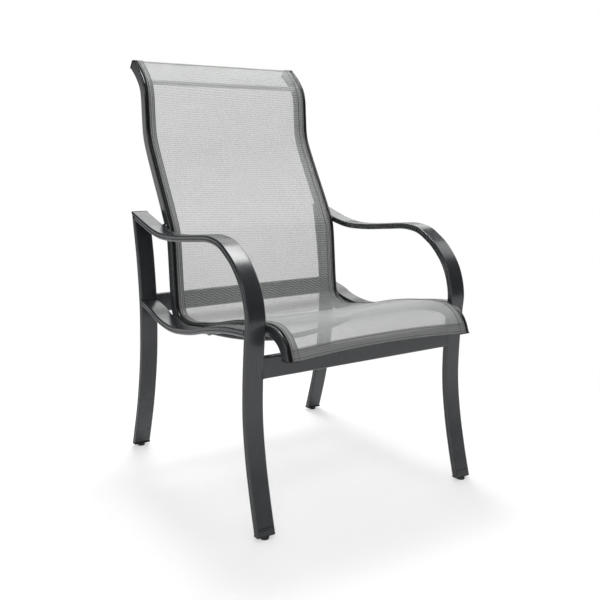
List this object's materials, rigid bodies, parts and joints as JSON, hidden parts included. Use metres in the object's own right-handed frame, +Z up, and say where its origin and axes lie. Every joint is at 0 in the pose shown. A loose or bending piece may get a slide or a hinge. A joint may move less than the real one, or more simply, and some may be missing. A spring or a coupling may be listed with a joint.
{
  "type": "sling patio chair",
  "caption": "High-backed patio dining chair with curved flat-tube arms and legs and a woven mesh sling stretched between bent rails.",
  "frame": {"origin": "on the floor under the middle of the chair, halfway across its width and its depth", "axes": "+Z up, -Y toward the front of the seat, +X toward the sitter's left"},
  "size_m": [0.637, 0.8038, 1.0666],
  "materials": {
    "frame": "dark graphite powder coat, semi-gloss",
    "mesh": "pale grey-beige woven vinyl-coated mesh, matt",
    "hem_rod": "plain plastic rod",
    "black_plastic": "black moulded plastic, satin",
    "glide": "black moulded plastic, satin",
    "bolt": "dark plated steel"
  },
  "bodies": {
    "root": {"arm_front_leg_left": "frame", "rear_leg_left": "frame", "side_seat_rail_left": "frame", "sling_rail_left": "frame", "spline_rod_left": "hem_rod", "rail_end_cap_top_left": "black_plastic", "rail_end_cap_front_left": "black_plastic", "rail_spacer_arm_left": "black_plastic", "rail_bolt_arm_left": "bolt", "rail_spacer_seat_front_left": "black_plastic", "rail_bolt_seat_front_left": "bolt", "rail_spacer_seat_rear_left": "black_plastic", "rail_bolt_seat_rear_left": "bolt", "foot_plug_front_left": "black_plastic", "glide_front_left": "glide", "foot_plug_rear_left": "black_plastic", "glide_rear_left": "glide", "arm_front_leg_right": "frame", "rear_leg_right": "frame", "side_seat_rail_right": "frame", "sling_rail_right": "frame", "spline_rod_right": "hem_rod", "rail_end_cap_top_right": "black_plastic", "rail_end_cap_front_right": "black_plastic", "rail_spacer_arm_right": "black_plastic", "rail_bolt_arm_right": "bolt", "rail_spacer_seat_front_right": "black_plastic", "rail_bolt_seat_front_right": "bolt", "rail_spacer_seat_rear_right": "black_plastic", "rail_bolt_seat_rear_right": "bolt", "foot_plug_front_right": "black_plastic", "glide_front_right": "glide", "foot_plug_rear_right": "black_plastic", "glide_rear_right": "glide", "front_crossbar": "frame", "rear_crossbar": "frame", "top_spreader_bar": "frame", "seat_spreader_bar": "frame", "sling": "mesh"}
  },
  "joints": []
}
